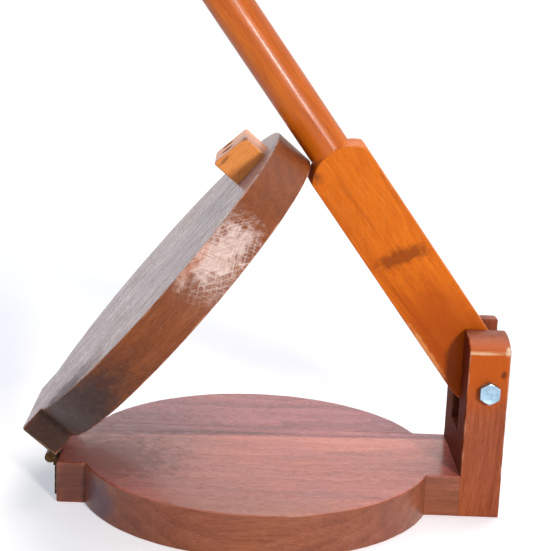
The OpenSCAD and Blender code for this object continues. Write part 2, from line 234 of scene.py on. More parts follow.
def coloured(put, local, bent, depth, tones, stain, pores, seed):
    """The grain in its tones, with stain = (colour, share) and open pores, and the mask of the pores."""
    dark, mid, light = (paint(tone) for tone in tones)
    colour = put("ValToRGB", {"Fac": depth}, [(0.0, dark), (1.0, light), (0.5, mid)])
    patch = stretched_noise(put, local, (-seed, seed, 0), (0.011, 0.017, 0.017), 3, 0.55)
    share = put("MapRange", (patch, 0.36, 0.66, 0, stain[1]))
    colour = put("Mix", {0: share, 6: colour, 7: paint(stain[0])}, **BLEND)
    speck = stretched_noise(put, bent, (0, 0, 0), (0.16, 1.9, 1.9), 1)
    pore = put("MapRange", (speck, 0.57, 0.68, 0, pores))
    return put("Mix", {0: pore, 6: colour, 7: dark}, **BLEND), pore


print("grain drifts by up to", DRIFT_MM / 2, "mm either way")

# %% [markdown]
# ## Marks and wear
# Knots, smudges and bleached places are stretched balls of colour with a ragged border, and so are painted shade
# and painted highlights. Scratches are thin, sunken flecks, thickest where hands rub. Along the edges the varnish is
# rubbed through to paler wood.

# %% Marks and wear
FADE = 0.65  # The part of a mark's radius over which it fades out
SCRATCH_DEPTH, SCRATCH_DULLNESS = -0.6, 0.25


def far_from(put, local, place, size, spin=(0, 0, 0)):
    """Distance from place, 1 on the ball whose half axes are size, turned by spin in degrees."""
    ball = put("Mapping", (local, place, [radians(a) for a in spin], size), vector_type="TEXTURE")
    return put("VectorMath", (ball,), operation="LENGTH", out="Value")


def marked(put, local, colour, marks):
    """The colour with its marks, and how much duller they make the varnish."""
    ragged = put("TexNoise", {"Vector": local, "Scale": 0.16, "Detail": 5.0, "Roughness": 0.7}, out="Fac")
    matt = 0.0
    for place, size, shade, share, rough, dullness, *spin in marks:
        far = far_from(put, local, place, size, *spin)
        torn = put("Math", (ragged, -2 * rough, far), **TIMES_PLUS)
        mask = put("MapRange", (torn, 1 - rough, 1 - FADE - rough, 0, share), interpolation_type="SMOOTHSTEP")
        colour = put("Mix", {0: mask, 6: colour, 7: paint(shade)}, **BLEND)
        matt = put("Math", (mask, dullness, matt), **TIMES_PLUS)
    return colour, matt


def scratched(put, local, bent, colour, matt, height, scratches, handled, seed):
    """Colour, dullness and height with layers of (axis, angle, length, width, share, colour): full inside
    handled = (place, size), and nearly gone outside it."""
    where = put("MapRange", (far_from(put, local, *handled), 1.2, 0.4, 0.03)) if handled else 1.0
    for axis, angle, length, width, share, shade in scratches:
        spin, depth = ((0, radians(angle), 0), length) if axis == "y" else ((0, 0, radians(angle)), width)
        line = put("Mapping", (bent, (angle, seed, angle), spin, (length, depth, width)), vector_type="TEXTURE")
        fleck = put("TexNoise", {"Vector": line, "Scale": 1.0, "Detail": 2.0, "Roughness": 0.4}, out="Fac")
        scratch = put("MapRange", (fleck, 0.56, 0.66, 0, share))
        scratch = put("Math", (scratch, where), operation="MULTIPLY")
        matt = put("Math", (scratch, SCRATCH_DULLNESS, matt), **TIMES_PLUS)
        colour = put("Mix", {0: scratch, 6: colour, 7: paint(shade)}, **BLEND)
        height = put("Math", (scratch, SCRATCH_DEPTH, height), **TIMES_PLUS)
    return colour, matt, height


def rubbed(put, local, colour, worn, worn_mm, worn_share):
    """The colour with edges rubbed through over about worn_mm, and the noise that makes them uneven."""
    near = put("Attribute", attribute_name="edge", out="Fac")
    uneven = put("TexNoise", {"Vector": local, "Scale": 0.09, "Detail": 4.0, "Roughness": 0.65}, out="Fac")
    width = put("MapRange", (uneven, 0.35, 0.7, 0.15 * worn_mm, 1.6 * worn_mm))
    inside = put("Math", (near, width), operation="DIVIDE")
    rub = put("MapRange", (inside, 1.2, 0.3, 0, worn_share))
    return put("Mix", {0: rub, 6: colour, 7: paint(worn)}, **BLEND), uneven


print("marks fade out over", FADE, "of their radius")

# %% [markdown]
# ## The whole finish
# The layers are laid on as they came to the real board: it grew, was stained, was knocked and marked, and then
# handled; some marks are painted shade and painted highlights. Over all lies a thin oil varnish, whose shine drifts a
# little.

# %% Wood finish
FIBRE_HEIGHT, PORE_DEPTH, PORE_DULLNESS, RELIEF_MM, COAT_ROUGHNESS = 0.5, -0.8, 0.25, 0.25, 0.12


def wood(name, origin, turn_y, tones, stain, rings, pores=0.5, gloss=(0.3, 0.45), ior=1.35, varnish=0.1,
         worn="#d9a184", worn_mm=0.9, worn_share=0.5, scratches=(), handled=None, marks=(), relief=0.35, seed=0.0):
    """Varnished wood. origin and turn_y give the board's own frame in millimetres, with x along the grain. tones
    are dark, middle and light. A mark is (place, size, colour, share, raggedness, dullness) and, maybe, its turn."""
    material = bpy.data.materials.new(name)
    put = emptied(material)
    place = put("TexCoord", out="Object")
    local = put("Mapping", (place, Vector(origin) * MM, (0, turn_y, 0), (MM, MM, MM)), vector_type="TEXTURE")
    depth, bent, fibre = grain(put, local, rings, seed)
    colour, pore = coloured(put, local, bent, depth, tones, stain, pores, seed)
    colour, matt = marked(put, local, colour, marks)
    height = put("Math", (fibre, FIBRE_HEIGHT), operation="MULTIPLY")
    colour, matt, height = scratched(put, local, bent, colour, matt, height, scratches, handled, seed)
    height = put("Math", (pore, PORE_DEPTH, height), **TIMES_PLUS)
    colour, uneven = rubbed(put, local, colour, worn, worn_mm, worn_share)
    dull = put("MapRange", (uneven, 0.3, 0.7, *gloss))
    dull = put("Math", (pore, PORE_DULLNESS, dull), **TIMES_PLUS)
    dull = put("Math", (dull, matt), operation="ADD")
    bump = put("Bump", {"Height": height, "Strength": relief, "Distance": RELIEF_MM * MM})
    shader = put("BsdfPrincipled", {"Base Color": colour, "Roughness": dull, "IOR": ior, "Normal": bump,
                                          "Coat Weight": varnish, "Coat Roughness": COAT_ROUGHNESS})
    put("OutputMaterial", {"Surface": shader})
    print(name, "has", len(material.node_tree.nodes), "nodes")
    return material


# %% [markdown]
# ## One finish for each piece of wood
# The boards came from different planks: the base is mauve brown, lever and post are orange, and the lid's rim is
# pale where hands grip it, partly bleached and partly a painted highlight. Rims get darker copies of their wood that
# are partly painted shade, and the post's sides a darker copy that is painted shade.

# %% Base and post finishes
BASE_FRAME = ((0, 0, 0), 0.0)
LID_FRAME = ((PIN[0], 0, PIN[1]), -LID_OPEN)
LEVER_FRAME = ((PIVOT[0], 0, PIVOT[1]), -LEAN)
POST_FRAME = ((POST_X, 0, 0), -pi / 2)

BASE_TOP = {"pores": 0.8, "relief": 0.9, "ior": 1.5, "worn": "#b5785c"}

# Front base board: rosy brown under the glossiest varnish, more orange in front, and darker orange by the hinge,
# a painted shadow of the lid where the varnish is also duller
base_front_wood = wood(
    "oiled_hardwood_base_front", *BASE_FRAME, ("#9e4533", "#d76e56", "#ef977f"), ("#b6706f", 0.5),
    (9, 30, -160, 0.2), gloss=(0.16, 0.27), varnish=0.3, seed=3.1, **BASE_TOP,
    # Painted shadow of the lid: darker orange on the top by the hinge
    marks=[((-100, -30, 28), (66, 60, 16), "#86300c", 0.95, 0.9, 0.1, (0, 0, 4)),
           ((-10, -114, 28), (135, 36, 14), "#b4623c", 0.6, 0.8, 0.0)])
# Back base board: a darker mauve, with a dark smear along the glue line
base_back_wood = wood(
    "oiled_hardwood_base_back", *BASE_FRAME, ("#7a3435", "#a95553", "#c37170"), ("#955162", 0.5),
    (7, 75, -40, 0.4), gloss=(0.2, 0.32), varnish=0.2, seed=7.7, **BASE_TOP,
    marks=[((-40, 27, 28), (90, 5, 6), "#623433", 0.6, 0.9, 0.2, (0, 0, 3))])
# Post: flat brown below and bright orange above, with a knot, a pale corner and top edge that are partly worn wood
# and partly a painted highlight, and painted shade that darkens the inside of the slot
post_wood = wood(
    "oiled_hardwood_post", *POST_FRAME, ("#763315", "#a25332", "#b86940"), ("#864836", 0.4),
    (8, 90, 60, 0.08), gloss=(0.34, 0.5), ior=1.22, varnish=0.05, worn_share=0.45, seed=5.3,
    marks=[((104, -42, -12), (38, 20, 34), "#b95200", 0.85, 0.35, 0.0),
           ((98.3, -42, -23.2), (3.5, 6, 2.5), "#451a08", 0.7, 0.8, 0.0),
           # Pale corner and top edge: partly worn wood, partly painted highlight
           ((115, -42, -26), (4.5, 5, 3.5), "#e9e2c6", 0.6, 1.1, 0.1),
           ((112.6, -41.5, -6), (1.5, 3, 21), "#efd1ab", 0.55, 0.3, 0.1),
           # Painted shade: the inside of the slot, darkened nearly to black
           ((80, 0, -8), (75, 45, 45), "#1c0b05", 0.85, 0.2, 0.1)])

# %% Lid finishes
# Lid boards: a greyed mauve whose shine turns nearly white at a low angle, with long dark and pale streaks; the front
# board has a dark violet patch by the hinge, a painted dark reflection, where its varnish is also duller
LID_TOP = {"gloss": (0.18, 0.32), "ior": 1.5, "varnish": 0.05, "worn_mm": 1.3, "relief": 0.8,
           "scratches": [("z", 0, 140, 2.4, 0.5, "#43302f"), ("z", 1.5, 70, 1.2, 0.2, "#ddd0cf"),
                         ("z", -1, 70, 1.0, 0.5, "#33211f")]}
lid_front_wood = wood(
    "oiled_hardwood_lid_front", *LID_FRAME, ("#7a5854", "#aa8582", "#c29f9e"), ("#967f98", 0.55),
    # Painted dark reflection: a dark violet patch on the top by the hinge
    (6, 40, -120, 0.12), seed=1.7, **LID_TOP, marks=[((40, -88, 27), (62, 48, 16), "#352431", 0.9, 0.7, 0.4)])
lid_back_wood = wood(
    "oiled_hardwood_lid_back", *LID_FRAME, ("#75534f", "#a37d7a", "#bb9795"), ("#917992", 0.55),
    (6, -20, -90, 0.2), seed=2.9, **LID_TOP)

# %% Lever, handle and block finishes
LEVER_LOOK = {"pores": 0.2, "worn": "#e09a5c", "worn_mm": 0.8, "seed": 4.4}

# Lever: a warm even orange with fine pale scratches and a dark smudge across it, with painted shade that makes it
# browner round the pivot and dark on the left of the shoulder, where the lid leans on it
lever_wood = wood(
    "oiled_hardwood_lever", *LEVER_FRAME, ("#a64906", "#d96e0f", "#ed841e"), ("#b85708", 0.45), (10, 120, 70, 0.1),
    gloss=(0.22, 0.36), ior=1.2, varnish=0.04, worn_share=0.3, handled=((150, -14, 0), (60, 20, 40)), **LEVER_LOOK,
    scratches=[("y", 25, 18, 0.5, 0.11, "#e6a05c"), ("y", -50, 12, 0.5, 0.07, "#e6a05c")],
    marks=[((101, -14, 0), (8, 20, 26), "#6a2503", 0.68, 0.8, 0.1, (0, 14, 0)),
           # Painted shade: browner and darker round the pivot
           ((24, -14, 4), (84, 20, 40), "#9d3c03", 0.7, 0.15, 0.0),
           ((300, 0, 0), (120, 40, 40), "#b05718", 0.4, 0.5, 0.0),
           # Painted shade: dark on the left of the shoulder, where the lid leans on it
           ((178, -5, 17), (12, 16, 8), "#4f1e07", 0.7, 0.4, 0.1),
           ((38, -14, 20.5), (30, 6, 3), "#eea86b", 0.5, 0.9, 0.1)])
# Handle: the same wood polished by hands, so that a soft highlight runs along it
handle_wood = wood(
    "polished_hardwood_handle", *LEVER_FRAME, ("#943f04", "#c6600b", "#df7a16"), ("#a84e07", 0.45),
    (10, 120, 70, 0.1), gloss=(0.3, 0.42), ior=1.4, varnish=0.08, **LEVER_LOOK)
# Block: a light honey brown, with a dark split at its corner and painted shade along the rounded front edge of its top
block_wood = wood(
    "oiled_hardwood_block", *LID_FRAME, ("#c8671e", "#ee9141", "#efaa5a"), ("#da7f2e", 0.4),
    (7, 60, -40, 0.15), ior=1.4, varnish=0.2, worn_mm=1.3, seed=6.2,
    marks=[((241, -20, 44), (3.5, 8, 3.5), "#401f0a", 0.9, 0.5, 0.2),
           # Painted shade: a dark streak along the rounded front edge of the top
           ((222, -20, 43.5), (6, 8, 1.5), "#623110", 0.6, 1.2, 0.1)])

# %% Rims and undersides
# Rims: darker than the broad faces, partly because end grain and side grain drink more oil than a broad face and
# partly as painted shade
base_rim_wood = wood(
    "oiled_hardwood_base_rim", *BASE_FRAME, ("#6e3923", "#945334", "#ae694d"), ("#774343", 0.45),
    (9, 30, -160, 0.16), gloss=(0.26, 0.4), worn="#a86c50", worn_share=0.35, seed=3.6,
    # Painted shade: darker and violet on the rim by the hinge tongue and in the corner where the tongue meets the disc
    marks=[((-102, -66, 12), (26, 28, 20), "#4d3f5d", 0.6, 0.5, 0.1),
           ((-121, -42, 15), (16, 12, 22), "#4a2e2e", 0.65, 0.4, 0.1)])
# Lid rim: dark by the hinge and on the tongue's front, a painted shade; brown above; pale and scratched where it is
# gripped, the pale patch partly bleached wood and partly a painted highlight
lid_rim_wood = wood(
    "oiled_hardwood_lid_rim", *LID_FRAME, ("#5f2b0d", "#824118", "#9b5927"), ("#72391b", 0.45),
    (6, 40, -120, 0.05), gloss=(0.32, 0.48), varnish=0.0, relief=0.6, seed=1.2,
    handled=((190, -106, 15), (31, 27, 25)),
    scratches=[("y", 35, 20, 0.8, 0.42, "#f6e4e0"), ("y", -24, 13, 0.8, 0.38, "#f6e4e0"),
               ("y", 68, 9, 0.8, 0.36, "#f2dad2"), ("y", 5, 12, 2.0, 0.25, "#f0dcd6"),
               ("y", 75, 12, 0.8, 0.35, "#8a5640")],
    # Painted shade: dark by the hinge
    marks=[((46, -85, 14), (100, 70, 30), "#2c1a1a", 0.92, 0.3, 0.1),
           # Pale patch where it is gripped: partly bleached wood, partly a painted highlight
           ((190, -106, 16), (36, 24, 16), "#f0d6d0", 0.55, 1.1, 0.05, (0, 12, 0)),
           # Painted shade: dark on the tongue's front
           ((14, -42, 13), (24, 14, 26), "#2f1a15", 0.9, 0.4, 0.1),
           ((178, -112, 25), (20, 14, 6), "#b8622c", 0.4, 0.5, 0.0)])
# Lid underside: rosy and smooth from the dough
lid_under_wood = wood(
    "oiled_hardwood_lid_underside", *LID_FRAME, ("#783828", "#a75b46", "#c27a62"), ("#905751", 0.5),
    (6, 40, -120, 0.3), gloss=(0.24, 0.36), ior=1.45, worn="#b5785c", seed=1.9)
# Post sides: a darker, matt copy of the post's wood, painted shade
painted_shade_post_side_wood = wood(
    "oiled_hardwood_post_side_painted_shade", *POST_FRAME, ("#4d1d0d", "#72341a", "#824024"), ("#5a2a25", 0.4),
    (8, 90, 60, 0.08), gloss=(0.6, 0.75), ior=1.15, varnish=0.0, worn_share=0.35, seed=5.8)
print(len(bpy.data.materials), "materials so far")

# %% [markdown]
# ## Metal
# Bolt, nut, washer and the block's screws are zinc-plated steel, faintly blue. The hinge is brass gone olive brown,
# and its screws are brass-plated. Slow stains and a fine grain break a plated surface.

# %% Metal finish
def metal(name, bright, dull, share, roughness, grain_mm):
    """A metal that drifts between two colours, in stains about grain_mm across, with a fine bump."""
    material = bpy.data.materials.new(name)
    put = emptied(material)
    place = put("TexCoord", out="Object")
    scale = 1 / (grain_mm * MM)
    stain = put("TexNoise", {"Vector": place, "Scale": scale, "Detail": 5.0, "Roughness": 0.6}, out="Fac")
    mask = put("MapRange", (stain, 0.38, 0.66, 0, share))
    colour = put("Mix", {0: mask, 6: paint(bright), 7: paint(dull)}, **BLEND)
    fine = put("TexNoise", {"Vector": place, "Scale": 1 / (0.5 * MM), "Detail": 2.0}, out="Fac")
    rough = put("MapRange", (stain, 0.3, 0.7, *roughness))
    bump = put("Bump", {"Height": fine, "Strength": 0.15, "Distance": 0.05 * MM})
    shader = put("BsdfPrincipled", {"Base Color": colour, "Metallic": 1.0, "Roughness": rough, "Normal": bump})
    put("OutputMaterial", {"Surface": shader})
    return material


# Zinc: a cool pale blue that mirrors the white room softly
zinc = metal("zinc_plated_steel", "#a9c4d8", "#6f93ab", 0.7, (0.28, 0.46), 2.5)
# Old brass: nearly black brown, with a glint only along its knuckles
brass = metal("aged_brass", "#5c432a", "#221810", 0.9, (0.3, 0.5), 3.0)
# New brass plate: small yellow points in the dark wood
brass_plate = metal("brass_plated_steel", "#c9a458", "#7a6232", 0.6, (0.25, 0.42), 1.5)

for metal_of, nodes in (
    (zinc, ("block_screws",)),
    (brass, ("base_hinge_leaf", "lid_hinge_leaf", "hinge_pin")),
    (brass_plate, ("post_screws", "base_hinge_screws", "lid_hinge_screws")),
):
    for node in nodes:
        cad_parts[node].data.materials.clear()
        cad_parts[node].data.materials.append(metal_of)
print(len(bpy.data.materials), "materials in all")

# %% [markdown]
# ## Outlines
# Every board starts as a closed row of points. Its corners are rounded, it is parted along a glue line, and its
# long sides are broken up so that they can waver.

# %% Outline helpers
ALMOST_STRAIGHT = pi / 2 - 0.02


def fillet(corners, radii, steps=5):
    """A closed outline whose corners are rounded by arcs that touch both sides: points evenly spaced on a chord,
    pushed out to the radius. A corner of radius 0, or almost straight, stays a point."""
    corners, radii = np.asarray(corners, float), np.asarray(radii, float)[:, None]
    u, v = (np.roll(corners, shift, 0) - corners for shift in (1, -1))
    u, v = u / np.hypot(*u.T)[:, None], v / np.hypot(*v.T)[:, None]
    half = np.arccos(np.clip((u * v).sum(1), -1, 1))[:, None] / 2
    rounded = (radii > 0) & (half <= ALMOST_STRAIGHT)
    half, radii, inward = (np.where(rounded, w, 1) for w in (half, radii, u + v))
    middle = corners + inward / np.hypot(*inward.T)[:, None] * radii / np.sin(half)
    a, b = ((corners + w * radii / np.tan(half) - middle)[:, None] for w in (u, v))
    t = np.linspace(0, 1, steps + 1)[:, None]
    arc = a * (1 - t) + b * t
    arc = middle[:, None] + arc / np.hypot(arc[..., 0], arc[..., 1])[..., None] * radii[:, None]
    points = np.where(rounded[:, None], arc, corners[:, None])
    return points[rounded | (np.arange(steps + 1) == 0)]


def dense(outline, step):
    """The same outline with no side longer than step: each side is cut into equal parts."""
    side = np.roll(outline, -1, 0) - outline
    parts = np.maximum(1, np.ceil(np.hypot(*side.T) / step)).astype(int)
    of = np.repeat(np.arange(len(outline)), parts)
    part = np.arange(len(of)) - np.repeat(np.cumsum(parts) - parts, parts)
    return outline[of] + side[of] * part[:, None] / parts[of][:, None]


def beside(outline, point, direction):
    """The part of an outline to the left of a line: its points there, and those where its sides cross the line."""
    after = np.roll(outline, -1, 0)
    normal = np.array((-direction[1], direction[0]))
    here, there = (outline - point) @ normal, (after - point) @ normal
    left = here >= 0
    crosses = left != (there >= 0)
    crossing = outline + (after - outline) * here[:, None] / np.where(crosses, here - there, 1)[:, None]
    return np.stack((outline, crossing), 1)[np.stack((left, crosses), 1)]


print("a round-cornered square has", len(fillet([(0, 0), (9, 0), (9, 9), (0, 9)], [2] * 4)), "points")

# %% [markdown]
# ## Worn edges
# A hand-made edge is never eased evenly, so a few sine waves make it waver. Where two sides meet, the eased corner
# lies inside both, which is where two moved lines cross.

# %% Worn edges
def waver(outline, amount, seed):
    """Slow variation round an outline: a few sine waves of the point's place, 1 on average."""
    rng = np.random.default_rng(seed)
    out = np.ones(len(outline))
    for length in (90, 37, 17, 8):
        d, phase = rng.uniform(0, 2 * pi, 2)
        out += amount * np.sin((outline @ (cos(d), sin(d))) * 2 * pi / length + phase) / 2
    return out


def inwards(outline, ease):
    """For each point, the move to ease inside both its sides; ease belongs to the side after a point."""
    side = np.roll(outline, -1, 0) - outline
    side /= np.hypot(side[:, 0], side[:, 1])[:, None]
    n2 = np.stack((-side[:, 1], side[:, 0]), 1)
    n1, e2, e1 = np.roll(n2, 1, 0), ease, np.roll(ease, 1)
    cross = n1[:, 0] * n2[:, 1] - n1[:, 1] * n2[:, 0]
    mean = (n1 + n2) / 2 * ((e1 + e2) / 2)[:, None]
    nearly_straight = np.abs(cross) < 0.2
    safe = np.where(nearly_straight, 1, cross)
    exact = np.stack((e1 * n2[:, 1] - e2 * n1[:, 1], e2 * n1[:, 0] - e1 * n2[:, 0]), 1) / safe[:, None]
    return np.where(nearly_straight[:, None], mean, exact)


def distance_to(points, a, b):
    """Distance of each point from the nearest of the segments a-b, all in the plane."""
    ab = b - a
    t = ((points[:, None] - a) * ab).sum(-1) / np.maximum((ab * ab).sum(-1), 1e-9)
    near = a + np.clip(t, 0, 1)[..., None] * ab
    return np.hypot(*np.moveaxis(points[:, None] - near, -1, 0)).min(1)


print("ease at two places:", *np.round(waver(np.array([(0, 0), (50, 0)]), 0.3, 1), 2))

# %% [markdown]
# ## From an outline to a closed board
# A board is a stack of rows with as many points as the outline. Quads join the rows, and fans of triangles close
# the ends.

# %% Stacks and boards
def ring_faces(rows, count, first=0):
    """Quads between neighbouring rows of count points, which face outwards when the rows climb."""
    k, i = np.meshgrid(np.arange(rows - 1), np.arange(count), indexing="ij")
    a, b = k * count + i, k * count + (i + 1) % count
    return first + np.stack((a, b, b + count, a + count), -1).reshape(-1, 4)


def fan_faces(pole, row, count, upwards):
    """Triangles from a pole point to a row of count points."""
    i = np.arange(count)
    a, b = row + i, row + (i + 1) % count
    order = (a, b, np.full(count, pole)) if upwards else (b, a, np.full(count, pole))
    return np.stack(order, -1)


def stack(rows, poles=None):
    """Rows of points joined by quads. Two poles close the ends by fans; without them the last row joins the first,
    as in a nut."""
    count, n = len(rows[0]), len(rows)
    if poles is None:
        points = np.concatenate(rows)
        return points, [ring_faces(n + 1, count) % len(points)]
    points = np.concatenate([*rows, np.array(poles, float)])
    return points, [
        ring_faces(n, count),
        fan_faces(n * count, 0, count, False),
        fan_faces(n * count + 1, (n - 1) * count, count, True),
    ]


def board(outline, ease, low, high, centre, corners=()):
    """A closed board from low to high: points, faces, and distance from the nearest worn edge. Rings grow from a
    pole at centre, a quarter circle of radius ease turns up into the wall, and the other half mirrors it."""
    round_off, shoulder = inwards(outline, ease), outline + inwards(outline, ease + 0.4)
    tall = np.maximum(ease, np.roll(ease, 1))
    half = [(centre + s * (shoulder - centre), 0 * tall) for s in (0.06, 0.3, 0.6, 0.8, 0.9, 0.96, 0.985, 1)]
    half += [(outline + round_off * (1 - cos(a)), tall * (1 - sin(a))) for a in np.linspace(pi / 2, 0, 5)]
    half.append((outline, tall + 0.4))
    rows = [np.c_[place, low + rise] for place, rise in half]
    wall = high - low - 2 * (tall + 0.4)
    rows += [np.c_[outline, low + tall + 0.4 + share * wall] for share in np.linspace(0, 1, 7)[1:-1]]
    rows += [np.c_[place, high - rise] for place, rise in half[::-1]]
    points, faces = stack(rows, [(*centre, low), (*centre, high)])
    worn = ease > 0.4
    if not worn.any():
        return points, faces, np.full(len(points), 9.0)
    flat = distance_to(points[:, :2], outline[worn], np.roll(outline, -1, 0)[worn])
    edge = np.minimum(np.hypot(flat, high - points[:, 2]), np.hypot(flat, points[:, 2] - low))
    for c in corners:
        edge = np.minimum(edge, np.hypot(*(points[:, :2] - c).T))
    return points, faces, edge


print("a row of 48 points gives", len(ring_faces(2, 48)), "quads")

# %% [markdown]
# ## The base boards
# The base is a disc with a tongue at each end, for the hinge and for the post, glued up from two boards. The
# outline is drawn once and parted along the glue line, which stays tight.

# %% Base boards
INNER_R, OUTER_R, STEP = 0.8, 1.6, 3.0


def arc_points(start, stop, count):
    """Points on the disc's rim from one angle to another."""
    a = np.linspace(start, stop, count)
    return np.c_[DISC_R * np.cos(a), DISC_R * np.sin(a)]


def tongued_disc(post_end=None):
    """A disc with a hinge tongue and, where post_end is given, a tongue out to there."""
    half = TONGUE_W / 2
    a = atan2(half, sqrt(DISC_R**2 - half**2))
    tongue = [(TONGUE_X, half), (TONGUE_X, -half)]
    if post_end is None:
        ring = arc_points(pi + a, 3 * pi - a, 320)
        return fillet([*ring, *tongue], [INNER_R, *[0] * (len(ring) - 2), INNER_R, OUTER_R, OUTER_R])
    back, front = arc_points(a, pi - a, 140), arc_points(pi + a, 2 * pi - a, 140)
    radii = [INNER_R, *[0] * (len(back) - 2), INNER_R]
    return fillet([*back, *tongue, *front, (post_end, -half), (post_end, half)], radii + [OUTER_R] * 2 + radii + [0, 0])


def eases(outline, seam_point, seam_turn, worn, seed, tight_x=None):
    """How far each side is eased: worn, wavering by a third, but tight along the glue line and, past tight_x,
    against the post."""
    ease = worn * waver(outline, 0.3, seed)
    mid = (outline + np.roll(outline, -1, 0)) / 2
    normal = np.array((-sin(seam_turn), cos(seam_turn)))
    ease[np.abs((mid - seam_point) @ normal) < 0.01] = 0.1
    if tight_x is not None:
        ease[mid[:, 0] > tight_x - 0.6] = 0.12
    return np.clip(ease, 0.1, 2.2)


def glued_boards(body, whole, seam, skew, high, place, worn, tight_x, others, parts):
    """A disc parted along its glue line into a front and a back board, laid in place."""
    along = np.array((cos(skew), sin(skew)))
    for side, (end, centre, material, seed) in zip((-1, 1), parts):
        outline = dense(beside(whole, seam, side * along), STEP)
        ease = eases(outline, seam, skew, worn, seed, tight_x)
        points, faces, edge = board(outline, ease, *high, np.array(centre, float), HINGE_CORNERS)
        piece(f"{body}_{end}_board", place(points), faces, material, body, [f"{body}_board_{end}"],
              edge, others=others)


HINGE_CORNERS = [np.array((TONGUE_X, -42.0)), np.array((TONGUE_X, 42.0))]
glued_boards("base", tongued_disc(POST_X), np.array((0.0, 23.0)), radians(3.2), (0.0, BASE_T), np.array, 0.9, POST_X,
             [(base_rim_wood, (0, 0, 1), -0.6, 0.6)],
             [("front", (0, -30), base_front_wood, 11), ("back", (0, 41), base_back_wood, 12)])

# %% [markdown]
# ## The lid boards
# The lid is the same disc without the post's tongue, glued along a line in front of the middle. It is drawn
# closed, flat above the base, and turned up about the hinge pin.

# %% Lid boards
def open_lid(points):
    """The closed lid's points turned up about the hinge pin, in the plane of x and z."""
    x, y, z = points.T
    dx, dz, c, s = x - PIN[0], z - PIN[1], cos(LID_OPEN), sin(LID_OPEN)
    return np.stack((PIN[0] + c * dx - s * dz, y, PIN[1] + s * dx + c * dz), 1)


OUT_OF_LID = (-sin(LID_OPEN), 0, cos(LID_OPEN))
glued_boards("lid", tongued_disc(), np.array((0.0, -32.0)), 0.0, (LID_LOW, LID_HIGH), open_lid, 1.0, None,
             [(lid_rim_wood, OUT_OF_LID, -0.6, 0.6), (lid_under_wood, OUT_OF_LID, -1.1, -0.6)],
             [("front", (0, -41), lid_front_wood, 21), ("back", (0, 30), lid_back_wood, 22)])

# %% [markdown]
# ## Holes for bolt and screws
# A turned solid, aimed along the hole, is cut out exactly, so the rim is clean. A countersunk head lies flush in a
# cone.

# %% Turned solids and drilling
def circle_row(radius, height, count=48):
    """A row of points round z at this height; radius is a number, or one for each point."""
    a = np.arange(count) * 2 * pi / count
    return np.stack((radius * np.cos(a), radius * np.sin(a), height + 0 * a), -1)


def turned(profile, count=48):
    """A turned solid about z: profile is (radius, height) pairs from the bottom pole to the top pole."""
    return stack([circle_row(r, z, count) for r, z in profile[1:-1]], [(0, 0, profile[0][1]), (0, 0, profile[-1][1])])


def aimed(points, place, axis):
    """Points about z moved so that z lies along axis and the origin at place."""
    spin = np.array(Vector((0, 0, 1)).rotation_difference(Vector(axis)).to_matrix())
    return points @ spin.T + np.asarray(place)


def drill(made, cutters):
    """Cuts solids out of an object and keeps the result as its plain mesh."""
    for points, faces in cutters:
        cutter = new_object("cutter", points, faces)
        cut = made.modifiers.new("cut", "BOOLEAN")
        cut.operation, cut.solver, cut.object = "DIFFERENCE", "EXACT", cutter
        solved = made.evaluated_get(bpy.context.evaluated_depsgraph_get())
        result = bpy.data.meshes.new_from_object(solved)
        made.modifiers.clear()
        made.data = result
        bpy.data.objects.remove(cutter)
    made.data.set_sharp_from_angle(angle=SHARP)
    print(made.name, "after drilling:", len(made.data.polygons), "faces")


def hole(profile, place, axis):
    """The turned solid that makes a hole at place along axis: its points and faces."""
    points, faces = turned(profile)
    return aimed(points, place, axis), faces


BOLT_HOLE = hole([(0, -60), (4.01, -60), (4.01, 60), (0, 60)], (PIVOT[0], 0, PIVOT[1]), (0, 1, 0))
print("the bolt's hole has", len(BOLT_HOLE[0]), "points")

# %% [markdown]
# ## The post
# Two cheeks and a core block are glued to make a fork. A cheek's top is level beside the slot and then rounds down
# to its outer face, so it is an outline across the press, (width, height), carried along the press.

# %% Post
CHEEK_T, CHEEK_FLAT, CHEEK_DROP = 28.0, 6.0, 7.3
SCREW_D, SCREW_HEAD_D, SCREW_L, POST_SCREW_Y = 4.5, 9, 53, 25
crown_run = CHEEK_T - CHEEK_FLAT
crown_r = (crown_run**2 + CHEEK_DROP**2) / (2 * CHEEK_DROP)
sweep = np.linspace(asin(crown_run / crown_r), 0, 12)
crown = np.c_[SLOT_W / 2 + CHEEK_FLAT + crown_r * np.sin(sweep), POST_H - crown_r * (1 - np.cos(sweep))]
cheek = np.concatenate(([(SLOT_W / 2, 0), (POST_W / 2, 0)], crown, [(SLOT_W / 2, POST_H)]))
cheek_radii = [0.3, 1.0, 1.8] + [0] * (len(crown) - 1) + [1.0]


def upright(points):
    """An outline across the press, carried along it, in the press's own axes."""
    return points[:, [2, 0, 1]]


def post_screw(y):
    """The hole of a countersunk screw whose head lies flush in the post's outer face."""
    shank, rim = SCREW_D / 2 + 0.05, SCREW_HEAD_D / 2 + 0.05
    cone = (SCREW_HEAD_D - SCREW_D) / 2
    profile = [(0, -SCREW_L), (shank, -SCREW_L), (shank, -cone), (rim, 0.03), (rim, 1), (0, 1)]
    return hole(profile, (POST_X + POST_T, y, BASE_T / 2), (1, 0, 0))


